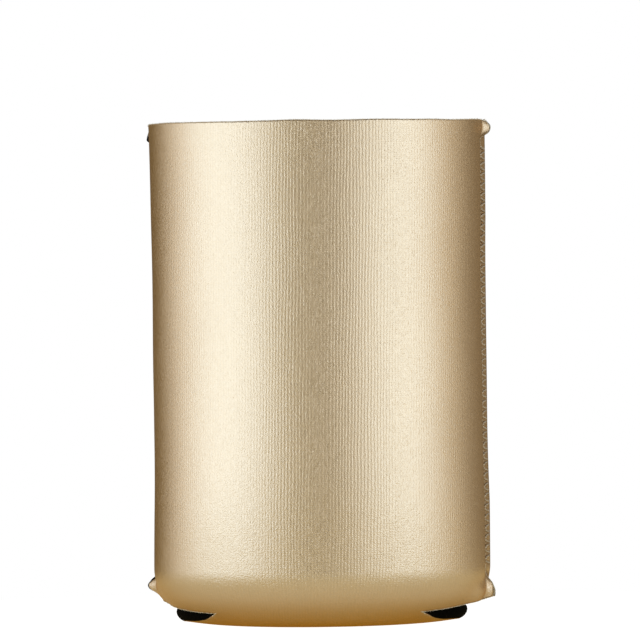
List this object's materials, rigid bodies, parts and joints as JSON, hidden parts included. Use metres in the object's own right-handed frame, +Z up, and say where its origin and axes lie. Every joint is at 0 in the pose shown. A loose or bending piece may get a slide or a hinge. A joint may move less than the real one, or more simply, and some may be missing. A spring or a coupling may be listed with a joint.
{
  "type": "can cooler sleeve",
  "caption": "Round insulating sleeve that slips over a standard drinks can: one folded sheet of gold knit-faced foam with a flat base, sewn up at two sides.",
  "frame": {"origin": "centre of the base's underside, on the surface that the sleeve stands on", "axes": "+Z up along the sleeve's axis towards the open top, -Y towards the middle of the front panel's hinge; the seams lie to the right (+X) and the left (-X)"},
  "size_m": [0.0733, 0.0716, 0.107],
  "materials": {
    "gold_knit_foam": "metallic gold knit laminated to black foam, soft sheen outside, matt black inside",
    "seam_thread": "matt tan sewing thread"
  },
  "bodies": {
    "root": {"sleeve_sheet": "gold_knit_foam", "right_seam_outer_thread": "seam_thread", "right_seam_inner_thread": "seam_thread", "left_seam_outer_thread": "seam_thread", "left_seam_inner_thread": "seam_thread"}
  },
  "joints": []
}
